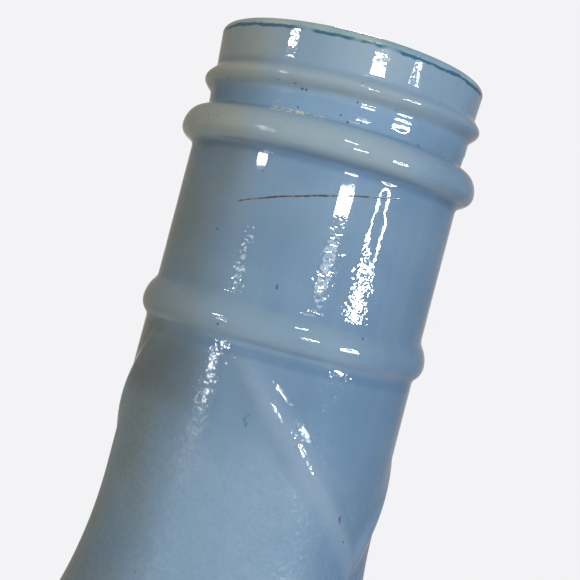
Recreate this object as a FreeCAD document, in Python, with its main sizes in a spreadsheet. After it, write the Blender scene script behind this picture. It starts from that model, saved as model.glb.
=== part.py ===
"""Pale blue glass bottle with a wide screw neck, and its sheet-steel cap standing beside it.

Millimetres, +Z up. The origin is the centre of the bottle's foot. The photographed side faces -Y.
The bottle is one blown piece of glass. The cap is a pressed shell with a loose two-layer liner inside.
"""
import FreeCAD
import Part
import Sketcher
import math
import os

# Driving dimensions: alias, value and meaning. Radii and heights are real sizes of the object.
DIMENSIONS = (
    ("height", 250.0, "foot to rim"),
    ("body_radius", 47.5, "outside of the body"),
    ("wall", 3.5, "glass wall of the body"),
    ("heel_round", 9.0, "outer rounding between foot and body"),
    ("inner_heel_round", 8.0, "inner rounding between base and body"),
    ("base_thickness", 7.0, "height of the inner base above the foot"),
    ("push_up_radius", 33.0, "hollow under the base"),
    ("push_up_depth", 3.2, "height of that hollow"),
    ("neck_drop", 76.4, "rim to the start of the shoulder"),
    ("flare_round", 81.0, "hollow curve from neck to shoulder"),
    ("shoulder_round", 30.0, "full curve from shoulder to body"),
    ("lower_neck_radius", 23.2, "neck below the ring"),
    ("ring_radius", 24.5, "crest of the ring"),
    ("ring_round", 4.35, "section of the ring"),
    ("ring_drop", 47.0, "rim to the middle of the ring"),
    ("neck_radius", 23.0, "neck between ring and collar"),
    ("collar_radius", 25.4, "crest of the collar"),
    ("collar_round", 3.1, "section of the collar"),
    ("collar_drop", 17.35, "rim to the middle of the collar"),
    ("finish_radius", 22.3, "plain wall that carries the thread"),
    ("lip_round", 1.4, "outer rounding of the rim"),
    ("inner_lip_round", 1.0, "inner rounding of the rim"),
    ("bore_radius", 19.0, "inside of the neck"),
    ("thread_radius", 23.7, "crest of the glass thread"),
    ("thread_round", 1.6, "section of the glass thread"),
    ("thread_pitch", 4.23, "rise of the thread in one turn"),
    ("thread_drop", 8.95, "rim to the thread at the front"),
    ("thread_reach", 200.0, "degrees that the thread runs either way from the front"),
    ("thread_fade", 35.0, "degrees over which each end sinks into the wall"),
    ("thread_end_depth", 0.1, "how far each end then lies under the wall"),
    ("arch_count", 2.0, "pointed arches round the lower neck"),
    ("arch_azimuth", -33.0, "degrees from the front to the tip of the first arch"),
    ("arch_drop", 43.85, "rim to the crossing of an arch's two straight legs"),
    ("arch_slope", 45.0, "degrees that the legs fall round the neck"),
    ("arch_round", 4.5, "how far the tip stays below that crossing"),
    ("rib_width", 4.2, "width of the arch's rib"),
    ("rib_height", 0.7, "height of the rib above the neck"),
    ("rib_root", 0.6, "how far the ribs are rooted in the wall"),
    ("cap_clearance", 0.4, "glass thread to cap skirt"),
    ("seat_gap", 0.8, "curled edge to collar with the cap screwed down"),
    ("sheet_thickness", 0.5, "steel of the cap"),
    ("corner_round", 0.5, "inner rounding between panel and skirt"),
    ("curl_round", 0.8, "section of the curled edge"),
    ("flute_count", 72.0, "grip flutes round the skirt"),
    ("flute_round", 0.6, "section of a flute"),
    ("flute_depth", 0.22, "depth of a flute"),
    ("flute_drop", 6.0, "panel's underside to the lower end of the flutes"),
    ("panel_radius", 15.5, "raised middle of the panel"),
    ("panel_slope", 1.2, "width of the step round it"),
    ("panel_rise", 0.6, "height of that step"),
    ("board_thickness", 1.0, "pulp board of the liner"),
    ("facing_thickness", 0.2, "waxed facing of the liner"),
    ("liner_clearance", 0.2, "liner to the rounding inside the cap"),
    ("cap_gap", 12.0, "body to curled edge, where the cap stands"),
)

# Sections along the thread, and along each arch.
THREAD_STATIONS = 20
ARCH_STATIONS = 12

doc = FreeCAD.newDocument("screw_neck_bottle")
sheet = doc.addObject("Spreadsheet::Sheet", "Sizes")
for row, (alias, value, meaning) in enumerate(DIMENSIONS, start=1):
    sheet.set(f"A{row}", meaning)
    sheet.set(f"B{row}", str(value))
    sheet.setAlias(f"B{row}", alias)
doc.recompute()


def size(alias):
    """A driving dimension, read back from the sheet."""
    return float(sheet.get(alias))


def derive(alias, formula):
    """Add a size to the sheet that follows from others, and return its value."""
    row = len(DIMENSIONS) + 1 + len(derived)
    derived.append(alias)
    sheet.set(f"A{row}", alias.replace("_", " "))
    sheet.set(f"B{row}", f"={formula}")
    sheet.setAlias(f"B{row}", alias)
    doc.recompute()
    return size(alias)


derived = []
flare_z = derive("flare_z", "height - neck_drop")
ring_z = derive("ring_z", "height - ring_drop")
collar_z = derive("collar_z", "height - collar_drop")
inner_radius = derive("inner_radius", "body_radius - wall")
inner_flare_round = derive("inner_flare_round", "flare_round + wall")
inner_shoulder_round = derive("inner_shoulder_round", "shoulder_round - wall")
finish_height = derive("finish_height", "collar_drop - collar_round")
liner_thickness = derive("liner_thickness", "board_thickness + facing_thickness")
skirt_radius = derive("skirt_radius", "thread_radius + cap_clearance")
skirt_outer = derive("skirt_outer", "skirt_radius + sheet_thickness")
panel_z = derive("panel_z", "finish_height - seat_gap + liner_thickness")
panel_top = derive("panel_top", "panel_z + sheet_thickness")
liner_radius = derive("liner_radius", "skirt_radius - corner_round - liner_clearance")
cap_x = derive("cap_x", "body_radius + cap_gap + skirt_radius + 2 * curl_round")


class Profile:
    """A closed outline in a body's XZ plane, drawn edge by edge and then constrained to the sheet."""

    def __init__(self, body, name):
        self.sketch = body.newObject("Sketcher::SketchObject", name)
        plane = next(f for f in body.Origin.OriginFeatures if f.Role == "XZ_Plane")
        self.sketch.AttachmentSupport = [(plane, "")]
        self.sketch.MapMode = "FlatFace"
        self.edges = []

    def line(self, start, end):
        """A straight edge; gives its number in the outline."""
        segment = Part.LineSegment(FreeCAD.Vector(*start, 0), FreeCAD.Vector(*end, 0))
        self.edges.append((self.sketch.addGeometry(segment), 1, 2))
        return len(self.edges) - 1

    def arc(self, centre, radius, start_angle, end_angle):
        """A round edge from one angle to the other, in degrees, either way round."""
        circle = Part.Circle(FreeCAD.Vector(*centre, 0), FreeCAD.Vector(0, 0, 1), radius)
        low, high = sorted((math.radians(start_angle), math.radians(end_angle)))
        geometry = self.sketch.addGeometry(Part.ArcOfCircle(circle, low, high))
        ends = (1, 2) if end_angle > start_angle else (2, 1)
        self.edges.append((geometry, *ends))
        return len(self.edges) - 1

    def join(self, smooth):
        """Join every edge to the next, tangent after the edges named in smooth."""
        for number, (geometry, _, last) in enumerate(self.edges):
            following, first, _ = self.edges[(number + 1) % len(self.edges)]
            kind = "Tangent" if number in smooth else "Coincident"
            self.sketch.addConstraint(Sketcher.Constraint(kind, geometry, last, following, first))

    def upright(self, *numbers):
        """Keep edges parallel to the axis."""
        for number in numbers:
            self.sketch.addConstraint(Sketcher.Constraint("Vertical", self.edges[number][0]))

    def level(self, *numbers):
        """Keep edges square to the axis."""
        for number in numbers:
            self.sketch.addConstraint(Sketcher.Constraint("Horizontal", self.edges[number][0]))

    def on_axis(self, number, point):
        """Put a point of an edge on the axis of revolution."""
        geometry, place = self._point(number, point)
        self.sketch.addConstraint(Sketcher.Constraint("PointOnObject", geometry, place, -2))

    def on_ground(self, number, point):
        """Put a point of an edge at height zero."""
        geometry, place = self._point(number, point)
        self.sketch.addConstraint(Sketcher.Constraint("PointOnObject", geometry, place, -1))

    def radius(self, number, formula):
        """Bind the radius of a round edge."""
        geometry = self.edges[number][0]
        value = self.sketch.Geometry[geometry].Radius
        self._bind(Sketcher.Constraint("Radius", geometry, value), formula)

    def across(self, number, point, formula):
        """Bind the distance of a point from the axis."""
        geometry, place = self._point(number, point)
        value = self.sketch.getPoint(geometry, place).x
        self._bind(Sketcher.Constraint("DistanceX", -1, 1, geometry, place, value), formula)

    def up(self, number, point, formula):
        """Bind the height of a point."""
        geometry, place = self._point(number, point)
        value = self.sketch.getPoint(geometry, place).y
        self._bind(Sketcher.Constraint("DistanceY", -1, 1, geometry, place, value), formula)

    def _point(self, number, point):
        geometry, first, last = self.edges[number]
        return geometry, {"first": first, "last": last, "centre": 3}[point]

    def _bind(self, constraint, formula):
        number = self.sketch.addConstraint(constraint)
        self.sketch.setExpression(f"Constraints[{number}]", formula)


def revolve(body, profile, name):
    """Turn an outline once round the axis."""
    turned = body.newObject("PartDesign::Revolution", name)
    turned.Profile = profile.sketch
    turned.ReferenceAxis = (profile.sketch, ["V_Axis"])
    turned.Angle = 360.0
    doc.recompute()
    return turned


def shoulder_turn(inner, outer, rounds):
    """Angle through which two equal and opposite arcs move a wall from one radius to another."""
    return math.degrees(math.acos(1 - (outer - inner) / rounds))


def bead_angle(reach, section, wall_radius):
    """Angle at which the round section of a bead meets a wall, from its widest point."""
    return math.degrees(math.acos((wall_radius - (reach - section)) / section))


def bead(name, stations):
    """A bead through sections that stand in planes through the axis.

    Each station gives an azimuth from the front, a height, the radius of the root, the radius of the
    crest and half the section's height.
    """
    sections = []
    for azimuth, z, root, crest, half in stations:
        outward = FreeCAD.Vector(math.sin(azimuth), -math.cos(azimuth), 0)
        low = outward * root + FreeCAD.Vector(0, 0, z - half)
        high = outward * root + FreeCAD.Vector(0, 0, z + half)
        tip = outward * crest + FreeCAD.Vector(0, 0, z)
        arc = Part.Arc(low, tip, high).toShape()
        sections.append(Part.Wire([arc, Part.makeLine(high, low)]))
    feature = doc.addObject("Part::Feature", name)
    feature.Shape = Part.makeLoft(sections, True, False)
    return feature


def make_thread():
    """The single right-hand thread bead, which sinks into the wall at both ends."""
    section, crest = size("thread_round"), size("thread_radius")
    reach, fade = math.radians(size("thread_reach")), math.radians(size("thread_fade"))
    sink = crest - size("finish_radius") + size("thread_end_depth")
    stations = []
    for step in range(THREAD_STATIONS + 1):
        azimuth = reach * (2 * step / THREAD_STATIONS - 1)
        z = size("height") - size("thread_drop") + size("thread_pitch") * azimuth / (2 * math.pi)
        shown = min(1.0, (reach - abs(azimuth)) / fade)
        lowered = sink * (1 - math.sin(shown * math.pi / 2))
        stations.append((azimuth, z, crest - section - lowered, crest - lowered, section))
    return bead("glass_thread", stations)


def make_arch(name, tip_azimuth, half_span):
    """One rib that falls from its tip to both sides, straight in the end and rounded at the tip."""
    wall_radius, slope = size("lower_neck_radius"), math.tan(math.radians(size("arch_slope")))
    rounding, half_width = size("arch_round"), size("rib_width") / 2
    root, crest = wall_radius - size("rib_root"), wall_radius + size("rib_height")
    stations = []
    for step in range(ARCH_STATIONS + 1):
        offset = half_span * (2 * step / ARCH_STATIONS - 1)
        fall = wall_radius * offset * slope
        depth = math.hypot(fall, rounding)
        z = size("height") - size("arch_drop") - depth
        lean = slope * fall / depth
        stations.append((tip_azimuth + offset, z, root, crest, half_width * math.hypot(1, lean)))
    return bead(name, stations)


def make_bottle():
    """The bottle: the blown wall with its thread and its arched ribs, in one piece of glass."""
    arches = int(size("arch_count"))
    half_span = math.pi / arches
    pieces = [make_wall(), make_thread()]
    for number in range(arches):
        tip = math.radians(size("arch_azimuth")) + 2 * half_span * number
        pieces.append(make_arch(f"arch_rib_{number + 1}", tip, half_span))
    glass = doc.addObject("Part::MultiFuse", "glass_bottle")
    glass.Shapes = pieces
    return glass


def make_wall():
    """The blown wall: foot, body, shoulder, neck with its ring, collar and screw finish."""
    body = doc.addObject("PartDesign::Body", "bottle_wall")
    profile = Profile(body, "bottle_outline")
    height, wall_radius = size("height"), size("body_radius")
    heel, lip, inner_lip = size("heel_round"), size("lip_round"), size("inner_lip_round")
    flare, shoulder = size("flare_round"), size("shoulder_round")
    neck_low, neck, finish = size("lower_neck_radius"), size("neck_radius"), size("finish_radius")
    ring, ring_section = size("ring_radius"), size("ring_round")
    collar, collar_section = size("collar_radius"), size("collar_round")
    bore, base, push_up = size("bore_radius"), size("base_thickness"), size("push_up_radius")
    depth, inner_heel = size("push_up_depth"), size("inner_heel_round")

    dome = (push_up ** 2 + depth ** 2) / (2 * depth)
    dome_edge = math.degrees(math.asin(push_up / dome))
    turn = shoulder_turn(neck_low, wall_radius, flare + shoulder)
    body_top = flare_z - (flare + shoulder) * math.sin(math.radians(turn))
    inner_turn = shoulder_turn(bore, inner_radius, inner_flare_round + inner_shoulder_round)
    inner_sum = inner_flare_round + inner_shoulder_round
    inner_top = flare_z - inner_sum * math.sin(math.radians(inner_turn))
    ring_low = bead_angle(ring, ring_section, neck_low)
    ring_high = bead_angle(ring, ring_section, neck)
    collar_low = bead_angle(collar, collar_section, neck)
    collar_high = bead_angle(collar, collar_section, finish)

    def bead_end(centre_z, section, angle, sign):
        return centre_z + sign * section * math.sin(math.radians(angle))

    hollow = profile.arc((0, depth - dome), dome, 90, 90 - dome_edge)
    foot = profile.line((push_up, 0), (wall_radius - heel, 0))
    heel_arc = profile.arc((wall_radius - heel, heel), heel, -90, 0)
    side = profile.line((wall_radius, heel), (wall_radius, body_top))
    shoulder_arc = profile.arc((wall_radius - shoulder, body_top), shoulder, 0, turn)
    flare_arc = profile.arc((neck_low + flare, flare_z), flare, 180 + turn, 180)
    low_end = bead_end(ring_z, ring_section, ring_low, -1)
    low_neck_line = profile.line((neck_low, flare_z), (neck_low, low_end))
    ring_arc = profile.arc((ring - ring_section, ring_z), ring_section, -ring_low, ring_high)
    neck_start = bead_end(ring_z, ring_section, ring_high, 1)
    neck_end = bead_end(collar_z, collar_section, collar_low, -1)
    neck_line = profile.line((neck, neck_start), (neck, neck_end))
    collar_arc = profile.arc((collar - collar_section, collar_z), collar_section, -collar_low, collar_high)
    finish_start = bead_end(collar_z, collar_section, collar_high, 1)
    finish_line = profile.line((finish, finish_start), (finish, height - lip))
    lip_arc = profile.arc((finish - lip, height - lip), lip, 0, 90)
    rim = profile.line((finish - lip, height), (bore + inner_lip, height))
    inner_lip_arc = profile.arc((bore + inner_lip, height - inner_lip), inner_lip, 90, 180)
    bore_line = profile.line((bore, height - inner_lip), (bore, flare_z))
    inner_flare = profile.arc((bore + inner_flare_round, flare_z), inner_flare_round, 180, 180 + inner_turn)
    inner_shoulder = profile.arc(
        (inner_radius - inner_shoulder_round, inner_top), inner_shoulder_round, inner_turn, 0)
    inner_side = profile.line((inner_radius, inner_top), (inner_radius, base + inner_heel))
    inner_heel_arc = profile.arc((inner_radius - inner_heel, base + inner_heel), inner_heel, 0, -90)
    floor = profile.line((inner_radius - inner_heel, base), (0, base))
    axis = profile.line((0, base), (0, depth))

    corners = {hollow, low_neck_line, ring_arc, neck_line, collar_arc, floor, axis}
    profile.join(smooth=set(range(len(profile.edges))) - corners)
    profile.upright(side, low_neck_line, neck_line, finish_line, bore_line, inner_side)
    profile.level(foot, rim, floor)
    profile.on_axis(hollow, "centre")
    profile.on_axis(hollow, "first")
    profile.up(hollow, "first", "Sizes.push_up_depth")
    profile.on_ground(hollow, "last")
    profile.across(hollow, "last", "Sizes.push_up_radius")
    rounds = (
        (heel_arc, "heel_round"), (shoulder_arc, "shoulder_round"), (flare_arc, "flare_round"),
        (ring_arc, "ring_round"), (collar_arc, "collar_round"), (lip_arc, "lip_round"),
        (inner_lip_arc, "inner_lip_round"), (inner_flare, "inner_flare_round"),
        (inner_shoulder, "inner_shoulder_round"), (inner_heel_arc, "inner_heel_round"),
    )
    for number, alias in rounds:
        profile.radius(number, f"Sizes.{alias}")
    walls = (
        (side, "body_radius"), (low_neck_line, "lower_neck_radius"), (neck_line, "neck_radius"),
        (finish_line, "finish_radius"), (bore_line, "bore_radius"), (inner_side, "inner_radius"),
    )
    for number, alias in walls:
        profile.across(number, "first", f"Sizes.{alias}")
    for number, bead in ((ring_arc, "ring"), (collar_arc, "collar")):
        profile.across(number, "centre", f"Sizes.{bead}_radius - Sizes.{bead}_round")
        profile.up(number, "centre", f"Sizes.{bead}_z")
    profile.up(low_neck_line, "first", "Sizes.flare_z")
    profile.up(rim, "first", "Sizes.height")
    profile.up(bore_line, "last", "Sizes.flare_z")
    profile.up(floor, "first", "Sizes.base_thickness")
    profile.on_axis(floor, "last")
    revolve(body, profile, "bottle_turned")
    return body


def cut_flutes(body):
    """The grip: upright flutes round the upper skirt."""
    flute = body.newObject("PartDesign::SubtractiveCylinder", "flute")
    flute.setExpression("Radius", "Sizes.flute_round")
    flute.setExpression("Height", "Sizes.flute_drop - Sizes.corner_round")
    flute.setExpression(".Placement.Base.x", "Sizes.skirt_outer + Sizes.flute_round - Sizes.flute_depth")
    flute.setExpression(".Placement.Base.z", "Sizes.panel_z - Sizes.flute_drop")
    doc.recompute()
    flutes = body.newObject("PartDesign::PolarPattern", "flutes")
    flutes.Originals = [flute]
    flutes.Axis = (next(f for f in body.Origin.OriginFeatures if f.Role == "Z_Axis"), [""])
    flutes.Angle = 360.0
    flutes.setExpression("Occurrences", "Sizes.flute_count")
    body.Tip = flutes
    doc.recompute()


def make_cap_shell():
    """The pressed steel cap: panel with a raised middle, fluted skirt and outward curled edge."""
    body = doc.addObject("PartDesign::Body", "cap_shell")
    profile = Profile(body, "cap_outline")
    middle, slope, rise = size("panel_radius"), size("panel_slope"), size("panel_rise")
    corner, curl, thickness = size("corner_round"), size("curl_round"), size("sheet_thickness")
    step = middle + slope
    curl_centre = skirt_radius + curl
    curl_end = math.degrees(math.acos((skirt_outer - curl_centre) / curl))
    skirt_start = curl + curl * math.sin(math.radians(curl_end))
    outer_corner = corner + thickness
    corner_centre = (skirt_radius - corner, panel_z - corner)

    under = profile.line((0, panel_z + rise), (middle, panel_z + rise))
    under_step = profile.line((middle, panel_z + rise), (step, panel_z))
    under_edge = profile.line((step, panel_z), (skirt_radius - corner, panel_z))
    inner_corner = profile.arc(corner_centre, corner, 90, 0)
    skirt_inside = profile.line((skirt_radius, panel_z - corner), (skirt_radius, curl))
    curl_arc = profile.arc((curl_centre, curl), curl, 180, 360 + curl_end)
    skirt_outside = profile.line((skirt_outer, skirt_start), (skirt_outer, panel_z - corner))
    outer_arc = profile.arc(corner_centre, outer_corner, 0, 90)
    top_edge = profile.line((skirt_radius - corner, panel_top), (step, panel_top))
    top_step = profile.line((step, panel_top), (middle, panel_top + rise))
    top = profile.line((middle, panel_top + rise), (0, panel_top + rise))
    axis = profile.line((0, panel_top + rise), (0, panel_z + rise))

    corners = {under, under_step, curl_arc, top_edge, top_step, top, axis}
    profile.join(smooth=set(range(len(profile.edges))) - corners)
    profile.level(under, under_edge, top_edge, top)
    profile.upright(skirt_inside, skirt_outside)
    profile.on_axis(under, "first")
    profile.on_axis(top, "last")
    for number in (under, top_step):
        profile.across(number, "last", "Sizes.panel_radius")
    for number in (under_step, top_edge):
        profile.across(number, "last", "Sizes.panel_radius + Sizes.panel_slope")
    profile.up(under, "first", "Sizes.panel_z + Sizes.panel_rise")
    profile.up(under_edge, "first", "Sizes.panel_z")
    profile.up(top_edge, "first", "Sizes.panel_top")
    profile.up(top, "first", "Sizes.panel_top + Sizes.panel_rise")
    profile.radius(inner_corner, "Sizes.corner_round")
    profile.radius(outer_arc, "Sizes.corner_round + Sizes.sheet_thickness")
    profile.across(skirt_inside, "first", "Sizes.skirt_radius")
    profile.across(skirt_outside, "first", "Sizes.skirt_outer")
    profile.radius(curl_arc, "Sizes.curl_round")
    profile.up(curl_arc, "centre", "Sizes.curl_round")
    revolve(body, profile, "cap_turned")
    cut_flutes(body)
    body.setExpression(".Placement.Base.x", "Sizes.cap_x")
    return body


def make_liner_disc(label, thickness_alias, height_formula):
    """One layer of the loose liner, under the cap's panel."""
    disc = doc.addObject("Part::Cylinder", label)
    disc.setExpression("Radius", "Sizes.liner_radius")
    disc.setExpression("Height", f"Sizes.{thickness_alias}")
    disc.setExpression(".Placement.Base.x", "Sizes.cap_x")
    disc.setExpression(".Placement.Base.z", height_formula)
    return disc


pieces = [
    make_bottle(),
    make_cap_shell(),
    make_liner_disc("liner_board", "board_thickness", "Sizes.panel_z - Sizes.board_thickness"),
    make_liner_disc("liner_facing", "facing_thickness", "Sizes.panel_z - Sizes.liner_thickness"),
]
doc.recompute()

for item in doc.Objects:
    if {"Invalid", "Error"} & set(item.State):
        raise RuntimeError(f"{item.Label} did not build: {item.State}")
os.makedirs("parts", exist_ok=True)
for piece in pieces:
    if piece.Shape.isNull() or not piece.Shape.isValid():
        raise RuntimeError(f"{piece.Label} has no valid shape")
for piece in pieces:
    piece.Shape.exportStep(f"parts/{piece.Label}.step")
    print(piece.Label, "volume", round(piece.Shape.Volume, 1), "mm3, solids", len(piece.Shape.Solids))
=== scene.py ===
"""Looks of the pale blue screw-neck bottle and its cap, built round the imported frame."""
import bpy
import math
import numpy as np
from mathutils import Matrix, Vector
from types import SimpleNamespace


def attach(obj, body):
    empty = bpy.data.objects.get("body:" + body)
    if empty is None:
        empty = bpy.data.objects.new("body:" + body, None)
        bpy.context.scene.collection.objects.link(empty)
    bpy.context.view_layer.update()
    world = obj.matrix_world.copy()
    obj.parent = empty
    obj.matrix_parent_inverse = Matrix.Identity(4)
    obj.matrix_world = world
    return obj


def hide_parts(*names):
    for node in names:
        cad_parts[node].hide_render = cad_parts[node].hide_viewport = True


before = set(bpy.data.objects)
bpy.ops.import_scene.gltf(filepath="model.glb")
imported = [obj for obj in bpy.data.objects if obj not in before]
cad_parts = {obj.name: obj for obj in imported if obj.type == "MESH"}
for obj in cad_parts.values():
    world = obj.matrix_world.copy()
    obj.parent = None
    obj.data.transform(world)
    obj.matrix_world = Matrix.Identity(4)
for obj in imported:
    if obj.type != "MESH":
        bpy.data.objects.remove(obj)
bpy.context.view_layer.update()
scene = bpy.context.scene
MM = 0.001
FULL_TURN = 2 * np.pi

# Sizes of the bottle in millimetres, within tenths of a millimetre of the solids.
HEIGHT = 250.0
BODY_RADIUS = 47.46  # a hair inside the solid, whose flat facets set the box
WALL = 3.5
HEEL_ROUND, INNER_HEEL_ROUND = 9.0, 8.0
BASE_THICKNESS = 7.0
PUSH_UP_RADIUS, PUSH_UP_DEPTH = 33.0, 3.2
FLARE_ROUND, SHOULDER_ROUND = 81.0, 30.0
LOWER_NECK, NECK, FINISH, BORE = 23.2, 23.0, 22.3, 19.0
RING_RADIUS, RING_ROUND, RING_HALF = 24.5, 4.35, 5
COLLAR_RADIUS, COLLAR_ROUND, COLLAR_HALF = 25.4, 3.1, 4
LIP_ROUND, INNER_LIP_ROUND = 1.4, 1.0
FLARE_Z, RING_Z, COLLAR_Z = HEIGHT - 76.4, HEIGHT - 47.0, HEIGHT - 17.35
THREAD_RADIUS, THREAD_HALF, THREAD_PITCH = 23.7, 2.08, 4.23
THREAD_Z, THREAD_REACH, THREAD_FADE = HEIGHT - 8.45, math.radians(200), math.radians(35)
ARCH_COUNT, ARCH_AZIMUTH = 2, math.radians(-33)
ARCH_Z, ARCH_SLOPE, ARCH_ROUND = HEIGHT - 43.85, 1.0, 4.5
# The ribs start out of the arch's point, stay under the ring and run out on the flare.
RIB_HALF, RIB_HEIGHT, RIB_FULLNESS = 3.36, 0.6, 1.1
RIB_START, RIB_FULL = 5, 14
RIB_TOP, RIB_FADE, RIB_END = RING_Z - 1, FLARE_Z - 6, FLARE_Z - 14
# The lip flares from LIP_LOW to LIP_HIGH, a little more on the left than on the right.
LIP_LOW, LIP_HIGH, LIP_SWELL, LIP_UNEVEN = HEIGHT - 6.6, HEIGHT - 1.2, 0.39, 0.12
# The groove above the collar: its deepest place, its depth, and its ends above and below.
GROOVE_Z, GROOVE_DISH, GROOVE_ABOVE = HEIGHT - 13.46, 0.25, 2.2
GROOVE_LOW, GROOVE_FULL = GROOVE_Z - 1.9, GROOVE_Z - 0.3
# How far the fullest part of the collar and the ring lies below their middle, and how far that reaches.
COLLAR_SAG, COLLAR_SAG_REACH = 0.55, 3.6
RING_SAG, RING_SAG_REACH = 0.6, 4.8
# Soft roundings where the collar and the ring meet the wall, above and below.
COLLAR_CREASES, RING_CREASES = (0.8, 1.3), (1.5, 1.8)
# Shallow waves of the blown skin, which fade out on the heel and are weaker on the neck.
WAVE_SEED, WAVE_COUNT, WAVE_SHORTEST, WAVE_LONGEST, WAVE_DEPTH = 3, 24, 7, 26, 0.02
NECK_WAVES, HEEL_CALM, FLARE_CALM = 0.12, 10, 20
# The grey of the crests takes in the underside of the thread, as painted light over its shade, and a share of the
# ring.
THREAD_LIT_UNDERSIDE, RING_CREST = 0.7, 0.4
# Columns round the axis, and the length of the steps along an outline.
SEGMENTS = 512
FINE, MEDIUM, COARSE = 0.32, 0.8, 1.8


class Outline:
    """A line of (radius, height) points, drawn with straight and round stretches."""

    def __init__(self, r, z):
        self.points = [(r, z)]

    def line(self, r, z, step):
        r0, z0 = self.points[-1]
        count = max(1, math.ceil(math.hypot(r - r0, z - z0) / step))
        for i in range(1, count + 1):
            self.points.append((r0 + (r - r0) * i / count, z0 + (z - z0) * i / count))

    def arc(self, centre, radius, start, end, step):
        """Angles in degrees; the stretch starts at the last point."""
        sweep = math.radians(end - start)
        count = max(3, math.ceil(abs(sweep) * radius / step))
        for i in range(1, count + 1):
            angle = math.radians(start) + sweep * i / count
            self.points.append((centre[0] + radius * math.cos(angle), centre[1] + radius * math.sin(angle)))

    def around(self, columns):
        """The azimuths round the axis, and the radii and heights of every point there (row, column)."""
        azimuths = np.linspace(-np.pi, np.pi, columns, endpoint=False)[None, :]
        radii, heights = (np.repeat(np.array(self.points)[:, i:i + 1], columns, axis=1) for i in (0, 1))
        return azimuths, radii, heights


def crease(wall, centre, radius, rounding, side):
    """Where a small rounding touches a wall and a round bead: its centre and the bead's angle there."""
    reach = radius + rounding
    across = wall + rounding - centre[0]
    up = side * math.sqrt(reach ** 2 - across ** 2)
    return (wall + rounding, centre[1] + up), math.degrees(math.atan2(up, across))


def bead(outline, wall_above, wall_below, centre, radius, creases, step):
    """From the wall above a bead, over it, to the wall below."""
    top, top_angle = crease(wall_above, centre, radius, creases[0], 1)
    low, low_angle = crease(wall_below, centre, radius, creases[1], -1)
    outline.line(wall_above, top[1], step)
    outline.arc(top, creases[0], 180, 180 + top_angle, step)
    outline.arc(centre, radius, top_angle, low_angle, step)
    outline.arc(low, creases[1], 180 + low_angle, 180, step)


def shoulder_turn(inner, outer, rounds):
    """How far, in degrees, two arcs of that joint radius turn between two upright walls."""
    return math.degrees(math.acos(1 - (outer - inner) / rounds))


def bottle_outline():
    """The glass from the inner base, up the inside, over the lip and down the outside to the push-up."""
    inner = BODY_RADIUS - WALL
    inner_flare, inner_shoulder = FLARE_ROUND + WALL, SHOULDER_ROUND - WALL
    inner_turn = shoulder_turn(BORE, inner, inner_flare + inner_shoulder)
    inner_top = FLARE_Z - (inner_flare + inner_shoulder) * math.sin(math.radians(inner_turn))
    turn = shoulder_turn(LOWER_NECK, BODY_RADIUS, FLARE_ROUND + SHOULDER_ROUND)
    body_top = FLARE_Z - (FLARE_ROUND + SHOULDER_ROUND) * math.sin(math.radians(turn))
    dome = (PUSH_UP_RADIUS ** 2 + PUSH_UP_DEPTH ** 2) / (2 * PUSH_UP_DEPTH)
    dome_edge = math.degrees(math.asin(PUSH_UP_RADIUS / dome))
    heel = (inner - INNER_HEEL_ROUND, BASE_THICKNESS + INNER_HEEL_ROUND)
    collar, ring = (COLLAR_RADIUS - COLLAR_ROUND, COLLAR_Z), (RING_RADIUS - RING_ROUND, RING_Z)

    glass = Outline(0, BASE_THICKNESS)
    glass.line(inner - INNER_HEEL_ROUND, BASE_THICKNESS, COARSE)
    glass.arc(heel, INNER_HEEL_ROUND, -90, 0, MEDIUM)
    glass.line(inner, inner_top, COARSE)
    glass.arc((inner - inner_shoulder, inner_top), inner_shoulder, 0, inner_turn, COARSE)
    glass.arc((BORE + inner_flare, FLARE_Z), inner_flare, 180 + inner_turn, 180, COARSE)
    glass.line(BORE, HEIGHT - INNER_LIP_ROUND, MEDIUM)
    glass.arc((BORE + INNER_LIP_ROUND, HEIGHT - INNER_LIP_ROUND), INNER_LIP_ROUND, 180, 90, FINE)
    glass.line(FINISH - LIP_ROUND, HEIGHT, FINE)
    outside = len(glass.points)
    glass.arc((FINISH - LIP_ROUND, HEIGHT - LIP_ROUND), LIP_ROUND, 90, 0, FINE / 2)
    bead(glass, FINISH, NECK, collar, COLLAR_ROUND, COLLAR_CREASES, FINE)
    bead(glass, NECK, LOWER_NECK, ring, RING_ROUND, RING_CREASES, FINE)
    glass.line(LOWER_NECK, FLARE_Z, FINE)
    glass.arc((LOWER_NECK + FLARE_ROUND, FLARE_Z), FLARE_ROUND, 180, 180 + turn, MEDIUM)
    glass.arc((BODY_RADIUS - SHOULDER_ROUND, body_top), SHOULDER_ROUND, turn, 0, MEDIUM)
    glass.line(BODY_RADIUS, HEEL_ROUND, COARSE)
    glass.arc((BODY_RADIUS - HEEL_ROUND, HEEL_ROUND), HEEL_ROUND, 0, -90, MEDIUM)
    glass.line(PUSH_UP_RADIUS, 0, MEDIUM)
    glass.arc((0, PUSH_UP_DEPTH - dome), dome, 90 - dome_edge, 90, COARSE)
    return glass, outside


def smooth(value, low, high):
    """0 at low, 1 at high, with soft ends."""
    t = np.clip((value - low) / (high - low), 0, 1)
    return t * t * (3 - 2 * t)


def bump_shape(x, fullness=0.75):
    """A soft bead section: 1 at the middle, 0 from x = 1 on, with a gentle foot."""
    return np.where(np.abs(x) < 1, (0.5 + 0.5 * np.cos(np.pi * np.clip(x, -1, 1))) ** fullness, 0)


def thread_share(azimuth, z):
    """The glass thread as a share of its full height, over every turn that passes an azimuth."""
    share = np.zeros(np.broadcast(azimuth, z).shape)
    for turn in (-1, 0, 1):
        along = azimuth + FULL_TURN * turn
        shown = np.sin(np.clip((THREAD_REACH - np.abs(along)) / THREAD_FADE, 0, 1) * np.pi / 2)
        middle = THREAD_Z + THREAD_PITCH * along / FULL_TURN
        share = np.maximum(share, shown * bump_shape((z - middle) / THREAD_HALF))
    return share


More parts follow.
